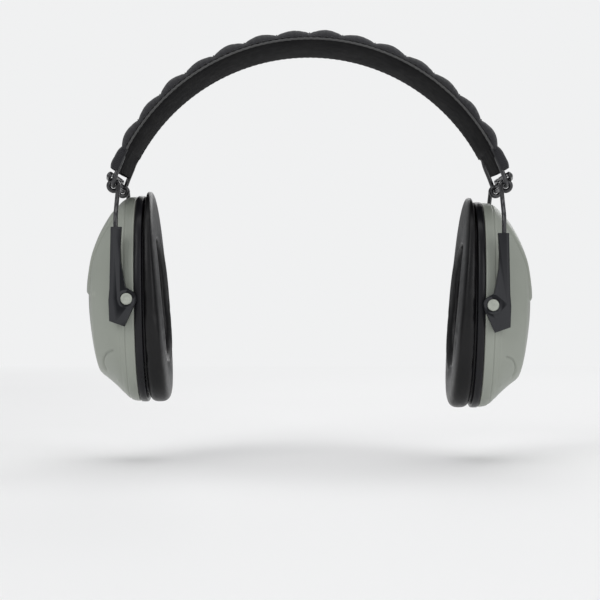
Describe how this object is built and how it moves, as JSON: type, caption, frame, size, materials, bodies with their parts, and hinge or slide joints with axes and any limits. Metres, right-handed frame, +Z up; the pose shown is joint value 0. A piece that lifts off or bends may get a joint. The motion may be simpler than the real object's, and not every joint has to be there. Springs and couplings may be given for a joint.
{
  "type": "folding ear muffs",
  "caption": "Folding ear muffs with a padded wire headband, wire yokes, plastic slide arms and hinged oval cups with soft ear cushions.",
  "frame": {"origin": "middle of the pad's underside at the crown, where the head meets it", "axes": "+X towards the wearer's left ear, +Y towards the back of the head, +Z up"},
  "size_m": [0.2204, 0.082, 0.1863],
  "materials": {
    "wire": "gloss",
    "sleeve": "satin",
    "foam": "matte",
    "leatherette": "satin",
    "textile": "matte",
    "arm": "satin",
    "ring": "satin",
    "shell": "satin",
    "pin": "satin"
  },
  "bodies": {
    "headband": {"band_frame": "wire", "frame_sleeve": "sleeve", "pad_foam": "foam", "band_pad": "leatherette", "quilt_wadding": "foam", "band_cover": "textile"},
    "right_yoke": {"right_yoke_wire": "wire"},
    "right_arms": {"right_front_arm": "arm", "right_rear_arm": "arm"},
    "right_cup": {"right_front_pivot_pin": "pin", "right_rear_pivot_pin": "pin", "right_cup_shell": "shell", "right_base_ring": "ring", "right_sound_foam": "foam", "right_cushion_plate": "ring", "right_cushion_foam": "foam", "right_ear_cushion": "leatherette"},
    "left_yoke": {"left_yoke_wire": "wire"},
    "left_arms": {"left_front_arm": "arm", "left_rear_arm": "arm"},
    "left_cup": {"left_front_pivot_pin": "pin", "left_rear_pivot_pin": "pin", "left_cup_shell": "shell", "left_base_ring": "ring", "left_sound_foam": "foam", "left_cushion_plate": "ring", "left_cushion_foam": "foam", "left_ear_cushion": "leatherette"}
  },
  "joints": [
    {"name": "right_fold", "type": "hinge", "parent": "headband", "child": "right_yoke", "pos_m": [-0.0955, 0, -0.06718], "axis": [0, 1, 0], "range_deg": [-60, 0]},
    {"name": "right_height", "type": "slide", "parent": "right_yoke", "child": "right_arms", "axis": [0, 0, 1], "range_m": [-0.022, 0.003]},
    {"name": "right_tilt", "type": "hinge", "parent": "right_arms", "child": "right_cup", "pos_m": [-0.0875, 0, -0.1222], "axis": [0, 1, 0], "range_deg": [-9, 7]},
    {"name": "left_fold", "type": "hinge", "parent": "headband", "child": "left_yoke", "pos_m": [0.0955, 0, -0.06718], "axis": [0, 1, 0], "range_deg": [0, 60]},
    {"name": "left_height", "type": "slide", "parent": "left_yoke", "child": "left_arms", "axis": [0, 0, 1], "range_m": [-0.022, 0.003]},
    {"name": "left_tilt", "type": "hinge", "parent": "left_arms", "child": "left_cup", "pos_m": [0.0875, 0, -0.1252], "axis": [0, 1, 0], "range_deg": [-7, 9]}
  ]
}
